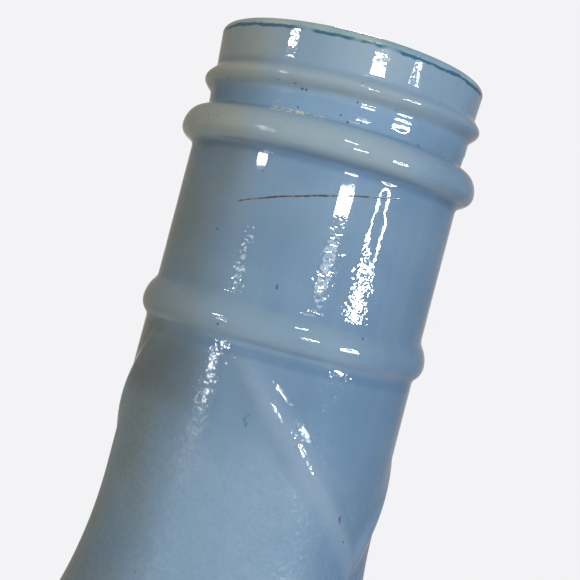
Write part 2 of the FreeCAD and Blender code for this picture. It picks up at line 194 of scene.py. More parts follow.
def rib_share(azimuth, z):
    """The arched ribs as a share of their full height."""
    span = FULL_TURN / ARCH_COUNT
    offset = (azimuth - ARCH_AZIMUTH + span / 2) % span - span / 2
    fall = LOWER_NECK * offset * ARCH_SLOPE
    depth = np.hypot(fall, ARCH_ROUND)
    lean = ARCH_SLOPE * fall / depth
    away = (z - (ARCH_Z - depth)) / np.hypot(1, lean)
    return bump_shape(away / RIB_HALF, RIB_FULLNESS) * smooth(depth, RIB_START, RIB_FULL)


def ripple(azimuth, z, radius):
    """Seeded unevenness of blown glass: many shallow waves, closed round the axis."""
    draw = np.random.default_rng(WAVE_SEED)
    total = np.zeros(np.broadcast(azimuth, z).shape)
    for _ in range(WAVE_COUNT):
        length = draw.uniform(WAVE_SHORTEST, WAVE_LONGEST)
        heading = draw.uniform(0, FULL_TURN)
        round_axis = round(FULL_TURN * radius / length * math.cos(heading))
        along_axis = FULL_TURN / length * math.sin(heading)
        total += np.cos(round_axis * azimuth + along_axis * z + draw.uniform(0, FULL_TURN))
    return WAVE_DEPTH * total / math.sqrt(WAVE_COUNT)


def mesh_object(name, verts, faces):
    mesh = bpy.data.meshes.new(name)
    mesh.from_pydata(verts.tolist(), [], faces)
    mesh.validate()
    mesh.update()
    mesh.polygons.foreach_set("use_smooth", [True] * len(mesh.polygons))
    obj = bpy.data.objects.new(name, mesh)
    scene.collection.objects.link(obj)
    return obj


def revolve(name, radii, heights, azimuths, marks, centre=0.0):
    """A closed skin from rows of radii and heights (row, column); the first and last rows are on the axis.

    Each mark is a named share that the material reads at every point.
    """
    rows, columns = radii.shape
    ring = np.stack([centre + radii * np.sin(azimuths), -radii * np.cos(azimuths), heights], axis=-1)
    poles = np.array([[centre, 0.0, heights[0, 0]], [centre, 0.0, heights[-1, 0]]])
    verts = np.concatenate([ring[1:-1].reshape(-1, 3), poles]) * MM
    first, last = len(verts) - 2, len(verts) - 1
    faces = []
    for row in range(rows - 3):
        base = row * columns
        for column in range(columns):
            after = (column + 1) % columns
            faces.append((base + column, base + columns + column, base + columns + after, base + after))
    tail = (rows - 3) * columns
    for column in range(columns):
        after = (column + 1) % columns
        faces.append((first, column, after))
        faces.append((last, tail + after, tail + column))
    obj = mesh_object(name, verts, faces)
    for key, share in marks.items():
        flat = np.concatenate([share[1:-1].ravel(), [share[0, 0], share[-1, 0]]])
        obj.data.attributes.new(key, "FLOAT", "POINT").data.foreach_set("value", flat.astype(np.float32))
    return obj


def make_bottle():
    outline, outside = bottle_outline()
    azimuths, radii, heights = outline.around(SEGMENTS)
    skin, z = radii[outside:], heights[outside:]
    z -= (
        COLLAR_SAG * bump_shape((z - COLLAR_Z) / COLLAR_SAG_REACH, 1)
        + RING_SAG * bump_shape((z - RING_Z) / RING_SAG_REACH, 1)
    )

    below_lip = z < HEIGHT - LIP_ROUND
    thread = np.where((z > COLLAR_Z) & below_lip, thread_share(azimuths, z), 0)
    groove_top = 1 - ((z - GROOVE_Z) / GROOVE_ABOVE) ** 2
    groove = np.where(z > GROOVE_Z, groove_top, smooth(z, GROOVE_LOW, GROOVE_FULL))
    lip = np.clip((z - LIP_LOW) / (LIP_HIGH - LIP_LOW), 0, 1) * smooth(skin, FINISH - LIP_ROUND, FINISH)
    wall = np.where(z > FLARE_Z, LOWER_NECK, skin)
    ribs = np.where(z < RIB_TOP, rib_share(azimuths, z) * smooth(z, RIB_END, RIB_FADE), 0)
    waves = ripple(azimuths, z, NECK)
    lively = NECK_WAVES + (1 - NECK_WAVES) * smooth(z, FLARE_Z, FLARE_Z - FLARE_CALM)
    radii[outside:] = (
        skin
        + (THREAD_RADIUS - FINISH) * thread
        - GROOVE_DISH * np.clip(groove, 0, 1)
        + LIP_SWELL * lip * (1 - LIP_UNEVEN * np.sin(azimuths))
        + np.where(z < RIB_TOP, np.clip(wall + RIB_HEIGHT * ribs - skin, 0, None), 0)
        + smooth(z, HEEL_ROUND, HEEL_ROUND + HEEL_CALM) * lively * (waves - waves.max())
    )

    collar = np.clip((skin - NECK) / (COLLAR_RADIUS - NECK), 0, 1) * (np.abs(z - COLLAR_Z) < COLLAR_HALF)
    ring = np.clip((skin - NECK) / (RING_RADIUS - NECK), 0, 1) * (np.abs(z - RING_Z) < RING_HALF)
    above_collar = z > COLLAR_Z + COLLAR_HALF
    # Painted light: the pale crest tone slides down onto the thread's underside and lifts its shade.
    lit_underside = np.where(above_collar & below_lip, thread_share(azimuths, z + THREAD_LIT_UNDERSIDE), 0)
    marks = {key: np.zeros(radii.shape) for key in ("crest", "rib", "inside")}
    marks["crest"][outside:] = np.maximum.reduce([collar, thread, lit_underside, RING_CREST * ring])
    marks["rib"][outside:] = ribs
    marks["inside"][:outside] = 1
    bottle = revolve("bottle_glass", radii, heights, azimuths, marks)
    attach(bottle, "bottle")
    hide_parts("glass_bottle")
    bottle.data.materials.append(blue_glass())


class Nodes:
    """Short forms for building a node tree; a value is a number or the output of another node."""

    NEAR_CORE, SPOT_CORE = 0.45, 0.4  # the share of a reach within which near and spot are 1

    def __init__(self, tree):
        self.tree = tree

    def add(self, kind, **settings):
        made = self.tree.nodes.new(kind)
        for key, value in settings.items():
            setattr(made, key, value)
        return made

    def plug(self, socket, value):
        if isinstance(value, bpy.types.NodeSocket):
            self.tree.links.new(value, socket)
        elif value is not None:
            socket.default_value = value

    def fill(self, made, values):
        for key, value in values.items():
            self.plug(made.inputs[key], value)
        return made

    def math(self, operation, a, b=None, c=None, clamp=False):
        made = self.add("ShaderNodeMath", operation=operation, use_clamp=clamp)
        return self.fill(made, {0: a, 1: b, 2: c}).outputs[0]

    def vector(self, operation, a, b=None):
        return self.fill(self.add("ShaderNodeVectorMath", operation=operation), {0: a, 1: b}).outputs

    def chain(self, operation, values):
        result = values[0]
        for value in values[1:]:
            result = self.math(operation, result, value)
        return result

    def total(self, *values):
        return self.chain("ADD", values)

    def times(self, *values):
        return self.chain("MULTIPLY", values)

    def most(self, *values):
        return self.chain("MAXIMUM", values)

    def minus(self, a, b):
        return self.math("SUBTRACT", a, b)

    def rest(self, share):
        """What a share leaves of 1."""
        return self.minus(1.0, share)

    def slope(self, value, rate, start, clamp=False):
        """A start, and so much more for each unit of a value."""
        return self.math("MULTIPLY_ADD", value, rate, start, clamp)

    def span(self, value, low, high, shape="SMOOTHSTEP"):
        """0 below low, 1 above high; the other way round where low is the larger."""
        made = self.add("ShaderNodeMapRange", interpolation_type=shape)
        return self.fill(made, {0: value, 1: low, 2: high, 3: 0.0, 4: 1.0}).outputs[0]

    def band(self, value, low, high, soft):
        """1 between low and high, with soft ends."""
        return self.times(self.span(value, low - soft, low + soft), self.span(value, high + soft, high - soft))

    def near(self, value, middle, reach):
        """1 where a value meets another, 0 from a reach away on."""
        away = self.math("ABSOLUTE", self.minus(value, middle))
        return self.span(away, reach, self.times(reach, self.NEAR_CORE))

    def spot(self, across, along, reach):
        """1 in the middle of a round spot, 0 from a reach away on."""
        away = self.math("SQRT", self.total(self.times(across, across), self.times(along, along)))
        return self.span(away, reach, reach * self.SPOT_CORE)

    def mix(self, factor, a, b, blend="MIX"):
        made = self.add("ShaderNodeMix", data_type="RGBA", blend_type=blend)
        return self.fill(made, {"Factor": factor, "A": a, "B": b}).outputs["Result"]

    def coats(self, colour, *coats):
        """Lay tones over a colour, one after another, each as far as its share says."""
        for share, tone in coats:
            colour = self.mix(share, colour, tone)
        return colour

    def noise(self, vector, scale, detail=2.0, roughness=0.5):
        values = {"Vector": vector, "Scale": scale, "Detail": detail, "Roughness": roughness}
        return self.fill(self.add("ShaderNodeTexNoise"), values).outputs["Fac"]

    def bump(self, height, distance, normal=None):
        values = {"Height": height, "Distance": distance, "Normal": normal}
        return self.fill(self.add("ShaderNodeBump"), values).outputs["Normal"]

    def stretch(self, vector, factors):
        return self.vector("MULTIPLY", vector, factors)[0]

    def split(self, vector):
        return self.fill(self.add("ShaderNodeSeparateXYZ"), {0: vector}).outputs

    def mark(self, name):
        return self.add("ShaderNodeAttribute", attribute_name=name).outputs["Fac"]


class Material(Nodes):
    """The nodes of a new material, with the place of a point on its object."""

    def __init__(self, name):
        self.made = bpy.data.materials.new(name)
        self.made.use_nodes = True
        super().__init__(self.made.node_tree)
        self.place = self.add("ShaderNodeTexCoord").outputs["Object"]

    def shade(self, values):
        self.fill(self.tree.nodes["Principled BSDF"], values)
        return self.made


def srgb(red, green, blue):
    """A colour as it is seen on a screen, 0 to 255, in the linear form that shaders take."""
    def linear(value):
        value = value / 255
        return value / 12.92 if value <= 0.04045 else ((value + 0.055) / 1.055) ** 2.4
    return (linear(red), linear(green), linear(blue), 1.0)


def glass_places(n):
    """Where a point of the glass is, and the shares and patterns that several of its looks need."""
    x, y, z = n.split(n.place)
    drop = n.times(n.minus(HEIGHT * MM, z), 1 / MM)
    outer = n.rest(n.mark("inside"))
    return SimpleNamespace(
        azimuth=n.math("DEGREES", n.math("ARCTAN2", x, n.times(y, -1.0))),  # from the front, to the right
        drop=drop,  # millimetres below the rim
        outer=outer,
        crest=n.mark("crest"),
        rib=n.mark("rib"),
        finish=n.times(outer, n.span(drop, 7.6, 5.8)),
        groove=n.times(outer, n.band(drop, 10.2, 14.0, 0.6)),
        cloud=n.noise(n.place, 45.0, 3.0),
        fine=n.noise(n.place, 420.0, 3.0),
        grain=n.noise(n.place, 1700.0, 2.0),
    )


def glass_tones(n, at):
    """Uneven blue, paler on the finish, beads and flare; painted light on the ribs, the finish's front and the
    thread's underside; painted shade below the beads and on the right.
    """
    left_side = n.times(n.span(at.azimuth, -20.0, -50.0), n.span(at.azimuth, -175.0, -120.0))
    # Painted shade on the right: less of the pale groove and crest tones, bluer crests, and a darker band further
    # round.
    shaded_right = n.times(n.span(at.azimuth, 15.0, 48.0), n.span(at.azimuth, 175.0, 120.0))
    middle = n.rest(n.most(left_side, shaded_right))
    runs = n.noise(n.stretch(n.place, (1.0, 1.0, 0.08)), 230.0, 3.0)
    # Painted light: the finish is paler still at the front, where the lamps' sheen lies on it.
    finish_front_sheen = n.band(at.azimuth, -6.0, 24.0, 14.0)
    under_collar = n.band(at.drop, 25.0, 32.0, 4.0)
    # Painted shade in a band just under the ring.
    under_ring = n.band(at.drop, 52.5, 58.0, 2.0)
    flare = n.span(n.total(at.drop, n.times(at.cloud, 16.0)), 66.0, 80.0)
    crest_tone = n.mix(shaded_right, srgb(149, 167, 175), srgb(146, 168, 186))
    # Painted shade on the right of the neck, from the groove down to the flare.
    shade = n.times(at.outer, n.band(at.azimuth, 38.0, 80.0, 8.0), n.band(at.drop, 13.0, 90.0, 3.0))
    # Painted shade in the creases where the collar and the ring meet the neck below them.
    collar_foot, ring_foot = n.band(at.drop, 20.2, 21.6, 0.5), n.band(at.drop, 50.8, 52.4, 0.5)
    foot_shade_tone = srgb(84, 116, 152)
    return n.coats(
        srgb(107, 137, 166),
        (n.span(at.cloud, 0.35, 0.65), srgb(121, 150, 176)),
        (n.times(n.span(runs, 0.45, 0.75), 0.3), srgb(130, 156, 178)),
        (n.times(n.span(at.fine, 0.45, 0.7), 0.2), srgb(103, 134, 165)),
        (n.times(at.outer, under_collar, 0.25), srgb(138, 162, 182)),
        (n.times(at.finish, n.slope(finish_front_sheen, 0.45, 0.4)), srgb(150, 171, 187)),
        (n.times(at.groove, n.slope(shaded_right, -0.45, 0.7)), srgb(130, 162, 191)),
        (n.times(at.outer, under_ring, 0.4), srgb(102, 132, 160)),
        (n.times(flare, middle, 0.6), srgb(138, 163, 186)),
        # Painted light on the ribs, which are made paler than the neck around them.
        (n.times(at.rib, 0.5), srgb(148, 167, 189)),
        (n.times(at.crest, n.slope(shaded_right, -0.42, 0.82)), crest_tone),
        (n.times(shade, 0.2), srgb(92, 123, 154)),
        (n.times(at.outer, collar_foot, 0.5), foot_shade_tone),
        (n.times(at.outer, ring_foot, 0.5), foot_shade_tone),
    )


def glass_patches(n, at, colour):
    """Darker olive patches on the left, painted shade under the ring there, a brown rub on the collar, and a fine
    mottle all over.
    """
    edge = n.total(at.azimuth, n.times(n.minus(at.cloud, 0.5), 40.0))
    left = n.times(n.span(edge, -22.0, -44.0), n.span(at.azimuth, -160.0, -120.0))
    blotch = n.span(n.total(n.noise(n.place, 90.0, 4.0, 0.6), n.times(at.crest, 0.2)), 0.3, 0.7)
    body = n.span(at.drop, 90.0, 120.0)
    left_olive = n.times(
        at.outer, left, n.slope(blotch, 0.6, 0.4), n.slope(at.groove, -0.6, 1.0), n.slope(body, -0.6, 1.0))
    olive_tone = n.mix(n.most(at.crest, at.finish), srgb(104, 109, 96), srgb(160, 162, 146))
    # Painted shade under the ring on the left, in the olive of that side.
    under_ring = n.times(at.outer, n.band(at.azimuth, -110.0, -30.0, 18.0), n.band(at.drop, 52.5, 62.0, 2.0))
    streaks = n.noise(n.stretch(n.place, (1.0, 1.0, 2.5)), 800.0, 5.0, 0.75)
    on_collar = n.times(left, n.band(at.azimuth, -80.0, -46.0, 8.0), n.near(at.drop, 16.9, 1.3))
    rub = n.times(on_collar, n.span(streaks, 0.5, 0.72))
    colour = n.coats(
        colour,
        (n.times(left_olive, 0.55), olive_tone),
        (n.times(under_ring, 0.45), srgb(84, 93, 90)),
        (n.times(rub, 0.6), srgb(86, 68, 48)),
    )
    mottle = n.total(n.times(n.span(at.fine, 0.35, 0.65), 0.6), n.times(n.span(at.grain, 0.3, 0.7), 0.4))
    mottle_tone = n.mix(mottle, srgb(226, 230, 232), (1.12, 1.11, 1.1, 1.0))
    return n.mix(n.times(at.outer, 0.16), colour, mottle_tone, "MULTIPLY"), left_olive


def glass_lip(n, at, colour):
    """The lip: bare, paler glass above an uneven, broken dark line."""
    edge = n.total(n.times(n.noise(n.place, 190.0, 5.0, 0.7), 1.3), 0.85)
    bare = n.times(at.outer, n.span(at.drop, n.total(edge, 0.25), n.minus(edge, 0.15)))
    bare_tone = n.mix(n.span(n.noise(n.place, 70.0, 3.0), 0.4, 0.6), srgb(124, 156, 172), srgb(154, 173, 172))
    unbroken = n.span(n.noise(n.place, 95.0, 3.0), 0.36, 0.44)
    width = n.total(n.times(n.noise(n.place, 500.0, 3.0, 0.7), 0.6), 0.05)
    line = n.times(at.outer, unbroken, n.near(at.drop, edge, width))
    rim = n.times(at.outer, n.span(at.drop, 0.35, 0.05))
    return n.coats(
        colour,
        (bare, bare_tone),
        (n.times(line, 0.9), srgb(44, 92, 118)),
        (n.times(rim, 0.6), srgb(108, 122, 120)),
    )


def glass_scratches(n, at, colour):
    """A scrape along the top of the collar, and a long hairline scratch round the neck."""
    hatch = n.noise(n.stretch(n.place, (1.0, 1.0, 2.2)), 750.0, 3.0, 0.7)
    on_collar = n.times(at.outer, n.band(at.azimuth, -27.0, -7.0, 2.0), n.near(at.drop, 14.35, 0.55))
    scrape = n.times(on_collar, n.span(hatch, 0.44, 0.56))
    bend = n.slope(n.times(at.azimuth, at.azimuth), 0.00035, 25.86)
    course = n.total(n.slope(at.azimuth, -0.105, bend), n.times(n.minus(at.fine, 0.5), 0.25))
    fray = n.noise(n.stretch(n.place, (1.0, 1.0, 0.3)), 500.0, 3.0)
    hairline = n.near(at.drop, course, n.times(fray, 0.34))
    scratch = n.times(at.outer, n.band(at.azimuth, -31.0, 31.0, 1.5), hairline)
    scratch_tone = n.mix(n.span(at.grain, 0.5, 0.62), srgb(44, 34, 30), srgb(122, 84, 66))
    colour = n.coats(
        colour,
        (n.times(scrape, 0.85), srgb(214, 210, 170)),
        (n.times(scratch, 0.85), scratch_tone),
    )
    return colour, scrape, scratch


# Single small marks on the neck: azimuth in degrees, drop in millimetres, and reach.
SPOTS = ((-5.0, 61.5, 0.75), (15.0, 63.1, 0.45), (42.0, 73.4, 0.6), (-7.0, 40.7, 0.3))
SPOT_ACROSS, SPOT_ALONG = 0.4, 0.6  # a spot's reach per degree and per millimetre


def glass_specks(n, at, colour):
    """Dark specks under the thread and above the collar, a few elsewhere, and the single small marks."""
    cells = n.fill(n.add("ShaderNodeTexVoronoi"), {"Vector": n.place, "Scale": 1500.0})
    chance, sizes, _ = n.split(cells.outputs["Color"])
    under_thread, above_collar = n.near(at.drop, 10.4, 0.7), n.band(at.drop, 12.6, 14.4, 0.3)
    crowd = n.total(n.times(under_thread, 0.22), n.times(above_collar, 0.16), 0.006)
    chosen = n.math("LESS_THAN", chance, crowd)
    within = n.math("LESS_THAN", cells.outputs["Distance"], n.slope(sizes, 0.28, 0.1))
    speck = n.times(at.outer, chosen, within)
    colour = n.mix(n.times(speck, 0.75), colour, srgb(40, 44, 50))
    ragged = n.span(n.noise(n.place, 1100.0, 3.0), 0.42, 0.6)
    for azimuth, drop, reach in SPOTS:
        across = n.times(n.minus(at.azimuth, azimuth), SPOT_ACROSS)
        along = n.times(n.minus(at.drop, drop), SPOT_ALONG)
        spot = n.times(n.spot(across, along, reach), ragged)
        colour = n.mix(n.times(at.outer, spot, 0.75), colour, srgb(64, 72, 84))
    return colour, speck


def glass_skin(n, at, scrape, scratch):
    """Waves of the blown skin, long and calm under the collar, fine and lively further down; and the cuts."""
    front_left = n.band(at.azimuth, -60.0, 16.0, 3.0)
    neck = n.times(n.span(at.drop, 27.0, 40.0), n.rest(n.times(n.span(at.drop, 51.0, 53.0), 0.2)))
    lively = n.most(neck, n.times(at.finish, n.band(at.azimuth, -40.0, 16.0, 3.0), 0.1))
    on_ring = n.band(at.drop, 45.0, 50.8, 0.6)
    settled = n.most(n.times(at.rib, 0.4), n.times(on_ring, 0.85), n.times(front_left, 0.35))
    lively = n.slope(n.times(lively, n.rest(settled)), 0.98, 0.02)
    still = n.most(n.times(front_left, n.band(at.drop, 19.0, 38.0, 3.0)), at.finish)
    broad = n.times(n.noise(n.place, 260.0, 1.0, 0.4), n.slope(still, -0.92, 1.0))
    peel = n.times(n.noise(n.place, 1150.0, 1.0, 0.5), lively)
    normal = n.bump(broad, 0.0001)
    normal = n.bump(peel, 0.000075, normal)
    return n.bump(n.times(n.most(scratch, scrape), -1.0), 0.00006, normal)


def glass_film(n, at):
    """A film of dust: on the finish at the right, in the groove at the left, on the flare and under the ring."""
    flare, under_ring = n.band(at.drop, 72.0, 94.0, 6.0), n.band(at.drop, 52.0, 66.0, 0.8)
    return n.most(
        n.times(at.finish, n.band(at.azimuth, 17.0, 60.0, 3.0), 0.65),
        n.times(at.outer, at.groove, n.band(at.azimuth, -70.0, -12.0, 3.0), 0.9),
        n.times(at.outer, flare, n.band(at.azimuth, -35.0, 50.0, 3.0), 0.7),
        n.times(at.outer, under_ring, n.band(at.azimuth, 19.0, 50.0, 3.0), 1.0),
    )


def blue_glass():
    """Opaque pale blue glass: greyer on the beads, darker olive on the left, with painted light and shade in
    places, the lip's bare line and a scratch.
    """
    n = Material("blue_glass")
    at = glass_places(n)
    colour, left_olive = glass_patches(n, at, glass_tones(n, at))
    colour = glass_lip(n, at, colour)
    colour, scrape, scratch = glass_scratches(n, at, colour)
    colour, speck = glass_specks(n, at, colour)
    film = glass_film(n, at)
    below_ring, flare = n.span(at.drop, 51.0, 53.0), n.band(at.drop, 62.0, 98.0, 7.0)
    worn = n.total(n.times(below_ring, 0.06), n.times(flare, 0.18))
    dull = n.total(
        n.slope(n.span(at.fine, 0.4, 0.75), 0.025, 0.02),
        n.times(at.finish, 0.01),
        n.times(film, 0.03),
        n.times(worn, n.rest(n.times(at.rib, 0.9))),
        n.times(n.most(scratch, speck), 0.3),
        n.times(left_olive, 0.04),
    )
    shine = n.slope(n.span(at.grain, 0.38, 0.62), 0.4, 0.3)
    return n.shade({
        "Base Color": colour,
        "Roughness": dull,
        "IOR": 1.5,
        "Specular IOR Level": n.slope(film, -0.62, shine, clamp=True),
        "Normal": glass_skin(n, at, scrape, scratch),
    })


# Sizes of the cap and its liner in millimetres, as in the solids.
CAP_X = 85.2
SKIRT, SHEET = 24.6, 0.5
CURL_ROUND, CORNER = 0.8, 0.5
PANEL_TOP, PANEL_RISE, PANEL_RADIUS, PANEL_SLOPE = 15.15, 0.6, 15.5, 1.2
FLUTES, FLUTE_DEPTH, FLUTE_LOW, FLUTE_HIGH = 72, 0.22, 8.65, 14.15
LINER_RADIUS, FACING_LOW, BOARD_LOW, BOARD_TOP = 23.4, 13.45, 13.65, 14.65
# The rolled thread, which the solids leave out: its foot, depth and half width, and where it starts and ends.
ROLL_Z, ROLL_DEPTH, ROLL_HALF = 3.1, 0.8, 1.25
ROLL_AZIMUTH, ROLL_RISE = math.radians(-20), 0.6
ROLL_FADE, ROLL_END = math.radians(245), math.radians(280)
ABOVE_CURL, CLEAR_OF_CURL = 1.5, 2.2
# The lacquer's wear at the corner, the panel's step and the ridges of the grip, against 1 at the curl.
CORNER_WEAR, STEP_WEAR, STEP_WEAR_REACH, RIDGE_WEAR = 0.9, 0.45, 0.5, 0.55
CURL_WEAR_LOW, CURL_WEAR_HIGH = 1.2, 1.7
# The dents that the bottle's lip has left in the liner's layers, and the rounding of their edges.
BOARD_DENT, FACING_DENT, LAYER_ROUND = 0.05, 0.08, 0.06
# Columns round the axis, and the length of the steps along the sheet's outline.
CAP_SEGMENTS, LINER_SEGMENTS = FLUTES * 8, 192
SHEET_WIDE, SHEET_FLAT, SHEET_STEP, SHEET_WALL, SHEET_CURL, SHEET_CORNER = 0.9, 0.7, 0.3, 0.25, 0.15, 0.12


def cap_outline():
    """The sheet from the middle of its top, down the outside, round the curl and up the inside."""
    inner, low = SKIRT - SHEET, PANEL_TOP - SHEET
    turn = math.acos((SHEET - CURL_ROUND) / CURL_ROUND)
    sheet = Outline(0, PANEL_TOP + PANEL_RISE)
    sheet.line(PANEL_RADIUS - PANEL_SLOPE, PANEL_TOP + PANEL_RISE, SHEET_WIDE)
    sheet.line(PANEL_RADIUS, PANEL_TOP, SHEET_STEP)
    sheet.line(SKIRT - CORNER, PANEL_TOP, SHEET_FLAT)
    sheet.arc((SKIRT - CORNER, PANEL_TOP - CORNER), CORNER, 90, 0, SHEET_CORNER)
    sheet.line(SKIRT, CURL_ROUND * (1 + math.sin(turn)), SHEET_WALL)
    sheet.arc((inner + CURL_ROUND, CURL_ROUND), CURL_ROUND, math.degrees(turn), -180, SHEET_CURL)
    inside = len(sheet.points)
    sheet.line(inner, low - CORNER, SHEET_WALL)
    sheet.arc((inner - CORNER, low - CORNER), CORNER, 0, 90, SHEET_CORNER)
    sheet.line(PANEL_RADIUS, low, SHEET_FLAT)
    sheet.line(PANEL_RADIUS - PANEL_SLOPE, low + PANEL_RISE, SHEET_STEP)
    sheet.line(0, low + PANEL_RISE, SHEET_WIDE)
    return sheet, inside


def make_cap():
    outline, inside = cap_outline()
    azimuths, radii, z = outline.around(CAP_SEGMENTS)
    skirt = smooth(radii, SKIRT - SHEET - 0.3, SKIRT - SHEET - 0.05)
    flute_ends = smooth(z, FLUTE_LOW - 0.3, FLUTE_LOW + 0.7) * smooth(z, FLUTE_HIGH + 0.3, FLUTE_HIGH - 0.5)
    fluted = skirt * flute_ends
    ridge = 0.5 - 0.5 * np.cos(FLUTES * azimuths)
    along = (azimuths - ROLL_AZIMUTH) % FULL_TURN
    shown = smooth(along, 0, ROLL_RISE) * smooth(along, ROLL_END, ROLL_FADE)
    section = bump_shape((z - ROLL_Z - THREAD_PITCH * along / FULL_TURN) / ROLL_HALF)
    rolled = skirt * shown * section * smooth(z, ABOVE_CURL, CLEAR_OF_CURL)
    radii = radii - FLUTE_DEPTH * fluted * (1 - ridge) - ROLL_DEPTH * rolled

    curl = smooth(z, CURL_WEAR_HIGH, CURL_WEAR_LOW)
    corner = smooth(z, PANEL_TOP - 0.9, PANEL_TOP - 0.2) * smooth(radii, SKIRT - 1.0, SKIRT - 0.4)
    step = np.clip(1 - np.abs(radii - PANEL_RADIUS + PANEL_SLOPE) / STEP_WEAR_REACH, 0, 1)
    wear = np.maximum.reduce([curl, CORNER_WEAR * corner, STEP_WEAR * step, RIDGE_WEAR * ridge * fluted])
    marks = {"edge": wear, "inside": np.zeros(radii.shape)}
    marks["inside"][inside:] = 1
    cap = revolve("cap_sheet", radii, z, azimuths, marks, CAP_X)
    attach(cap, "cap")
    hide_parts("cap_shell")
    cap.data.materials.append(cap_steel())


def cap_steel():
    """Off-white lacquer outside, thin gold lacquer inside, worn to rusty steel along the edges."""
    n = Material("cap_steel")
    cloud = n.noise(n.place, 70.0, 4.0)
    fine = n.noise(n.place, 900.0, 3.0)
    brushed = n.noise(n.stretch(n.place, (1.0, 0.06, 1.0)), 700.0, 3.0)
    scratch = n.times(n.span(brushed, 0.66, 0.72), n.span(cloud, 0.45, 0.6), 0.6)
    worn = n.span(n.total(n.times(n.mark("edge"), 0.5), n.noise(n.place, 330.0, 5.0, 0.7)), 0.86, 0.94)
    bare = n.most(worn, scratch)
    rust = n.times(n.span(n.noise(n.place, 520.0, 4.0, 0.65), 0.47, 0.6), worn)
    gold = n.mix(n.span(cloud, 0.4, 0.6), srgb(188, 164, 104), srgb(202, 180, 126))
    steel = n.mix(n.span(fine, 0.4, 0.6), srgb(150, 149, 147), srgb(176, 175, 172))
    colour = n.coats(
        srgb(206, 201, 186),
        (n.span(cloud, 0.35, 0.65), srgb(222, 218, 206)),
        (n.times(n.span(fine, 0.52, 0.7), 0.25), srgb(186, 178, 158)),
        (n.mark("inside"), gold),
        (bare, steel),
        (n.times(rust, 0.85), srgb(112, 72, 44)),
    )
    normal = n.bump(n.noise(n.place, 160.0, 2.0), 0.00025)
    normal = n.bump(n.noise(n.place, 1500.0, 2.0), 0.00003, normal)
    normal = n.bump(n.times(bare, -1.0), 0.00004, normal)
    return n.shade({
        "Base Color": colour,
        "Metallic": n.times(bare, n.rest(rust), 0.9),
        "Roughness": n.total(n.slope(n.span(fine, 0.3, 0.7), 0.1, 0.26), n.times(rust, 0.45)),
        "Normal": normal,
    })


def make_disc(name, node, low, top, dent, material):
    """One layer of the liner, with the mark that the bottle's lip has pressed into its lower face."""
    edge = LINER_RADIUS - LAYER_ROUND
    disc = Outline(0, top)
    disc.line(edge, top, 0.7)
    disc.arc((edge, top - LAYER_ROUND), LAYER_ROUND, 90, 0, 0.05)
    disc.line(LINER_RADIUS, low + LAYER_ROUND, 0.2)
    disc.arc((edge, low + LAYER_ROUND), LAYER_ROUND, 0, -90, 0.05)
    disc.line(0, low, 0.25)
    azimuths, radii, z = disc.around(LINER_SEGMENTS)
    pressed = smooth(radii, BORE - 0.3, BORE + 0.5) * smooth(radii, FINISH + 0.3, FINISH - 0.6)
    z = z + dent * pressed * (z < low + 0.01)
    layer = revolve(name, radii, z, azimuths, {"pressed": pressed}, CAP_X)
    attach(layer, "liner")
    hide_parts(node)
    layer.data.materials.append(material)


def pulp_board():
    """Brown board of short fibres."""
    n = Material("pulp_board")
    fibre = n.noise(n.stretch(n.place, (1.0, 0.25, 3.0)), 1100.0, 4.0, 0.7)
    cloud = n.noise(n.place, 160.0, 3.0)
    colour = n.coats(
        srgb(164, 136, 100),
        (n.span(fibre, 0.35, 0.65), srgb(196, 170, 132)),
        (n.times(n.span(cloud, 0.45, 0.7), 0.5), srgb(150, 124, 92)),
    )
    return n.shade({
        "Base Color": colour,
        "Roughness": n.slope(fibre, 0.15, 0.8),
        "Normal": n.bump(fibre, 0.00012),
    })


def waxed_facing():
    """Cream waxed paper, darker and shinier where the lip has pressed it."""
    n = Material("waxed_facing")
    pressed = n.mark("pressed")
    cloud = n.noise(n.place, 120.0, 4.0)
    fine = n.noise(n.place, 1300.0, 3.0)
    colour = n.coats(
        srgb(226, 218, 198),
        (n.span(cloud, 0.35, 0.65), srgb(236, 230, 214)),
        (n.times(pressed, n.span(cloud, 0.3, 0.6), 0.5), srgb(204, 192, 164)),
        (n.times(n.span(fine, 0.56, 0.7), 0.3), srgb(198, 186, 158)),
    )
    return n.shade({
        "Base Color": colour,
        "Roughness": n.slope(pressed, -0.12, 0.45),
        "Normal": n.bump(fine, 0.00004),
    })


def aim(obj, position, target, up=(0, 0, 1)):
    """Place a lamp or camera in millimetres and point it at a target."""
    place, goal = Vector(position) * MM, Vector(target) * MM
    back = (place - goal).normalized()
    right = Vector(up).cross(back).normalized()
    over = back.cross(right)
    turn = Matrix((right, over, back)).transposed().to_4x4()
    obj.matrix_world = Matrix.Translation(place) @ turn


# The photograph's view: a camera close in front of the neck, rolled to the left.
CAMERA_PLACE = (-0.7, -202.4, HEIGHT - 41.95)
CAMERA_AHEAD = (0.0, 0.99996, 0.0066)
CAMERA_UP = (-0.2526, -0.0064, 0.9676)
CAMERA_LENS, CAMERA_SENSOR, CAMERA_NEAREST = 73.75, 36.0, 0.005


def make_camera():
    data = bpy.data.cameras.new("camera")
    data.lens = CAMERA_LENS
    data.sensor_width = CAMERA_SENSOR
    data.clip_start = CAMERA_NEAREST
    camera = bpy.data.objects.new("camera", data)
    scene.collection.objects.link(camera)
    target = [p + 100 * a for p, a in zip(CAMERA_PLACE, CAMERA_AHEAD)]
    aim(camera, CAMERA_PLACE, target, CAMERA_UP)
    scene.camera = camera


# The lamps stand round the middle of the neck, at these distances in millimetres.
NECK_MIDDLE = (0.0, 0.0, HEIGHT - 36.5)
STRIP_DISTANCE, PANEL_DISTANCE = 700, 900
WHITE, COOL, WARM, WARMER = (1, 1, 1), (0.94, 0.98, 1.0), (1.0, 0.98, 0.95), (1.0, 0.98, 0.94)
